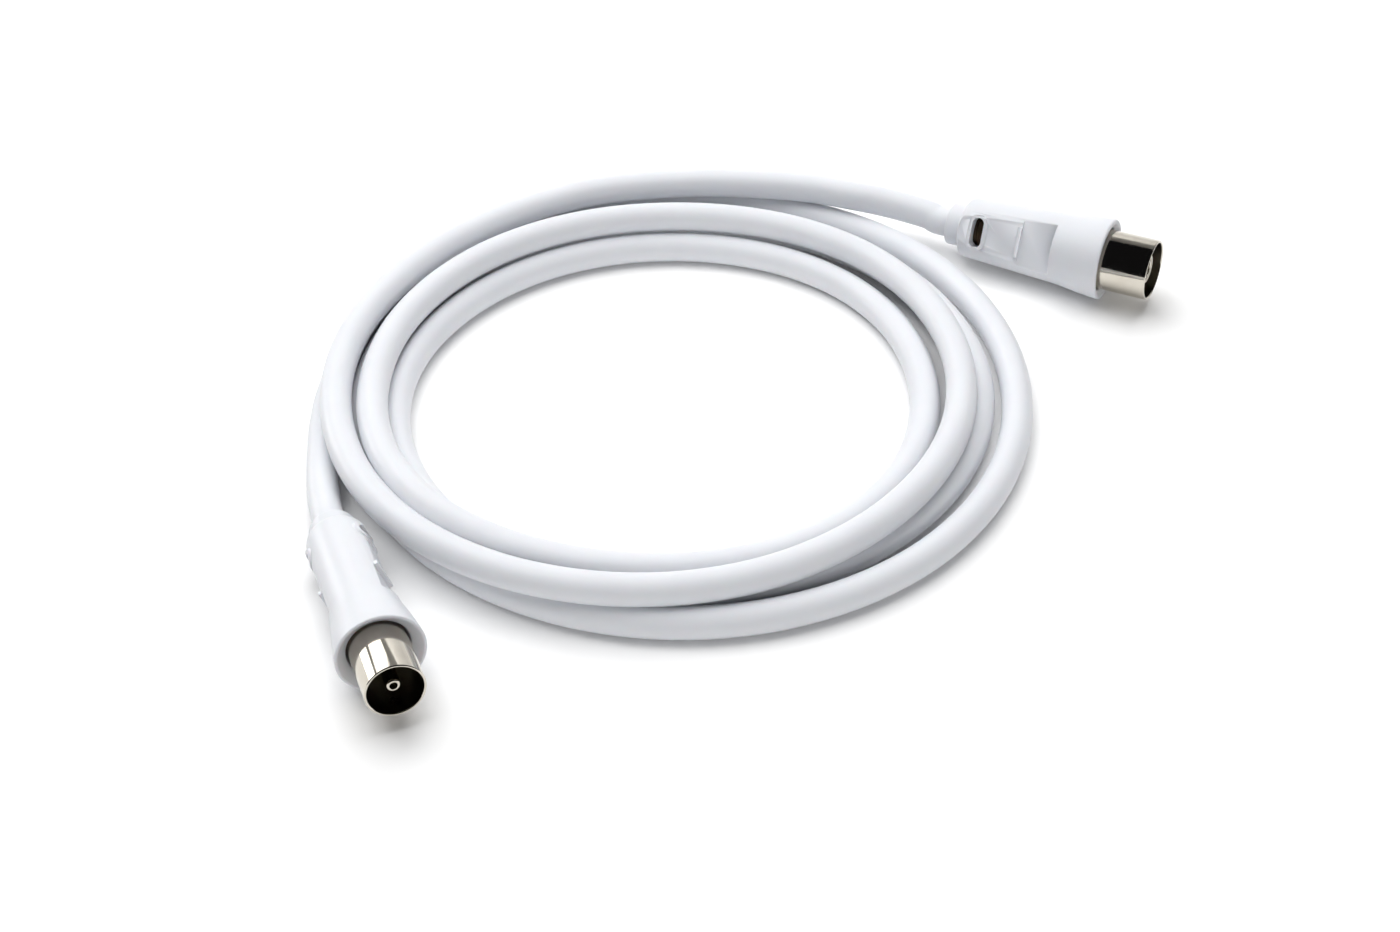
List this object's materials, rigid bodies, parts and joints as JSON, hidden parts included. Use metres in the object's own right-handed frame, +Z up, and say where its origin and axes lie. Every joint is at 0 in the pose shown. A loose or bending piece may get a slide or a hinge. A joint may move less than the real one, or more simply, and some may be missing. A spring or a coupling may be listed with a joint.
{
  "type": "antenna extension cable",
  "caption": "White coaxial television antenna extension cable lying in a loose coil, with a moulded male plug on one end and a moulded female socket on the other.",
  "frame": {"origin": "on the surface the cable lies on, below the middle of the box around the two connectors", "axes": "+X from the plug's side of the coil to the socket's side, +Y away from the plug's mouth across the coil, +Z up from the surface"},
  "size_m": [0.151, 0.1416, 0.0151],
  "materials": {
    "cable_jacket": "extruded white PVC, satin",
    "moulded_body": "moulded white PVC, soft gloss",
    "nickel_plate": "bright nickel plating, slightly warm",
    "ferrule_metal": "dull tinned metal with a little bare copper",
    "dielectric": "off-white polyethylene"
  },
  "bodies": {
    "root": {"cable_coil": "cable_jacket", "cable_tail_female": "cable_jacket", "cable_tail_male": "cable_jacket", "male_body": "moulded_body", "male_sleeve": "nickel_plate", "male_ferrule": "ferrule_metal", "male_insulator": "dielectric", "male_pin": "nickel_plate", "female_body": "moulded_body", "female_sleeve": "nickel_plate", "female_ferrule": "ferrule_metal", "female_insulator": "dielectric", "female_contact": "nickel_plate"}
  },
  "joints": []
}
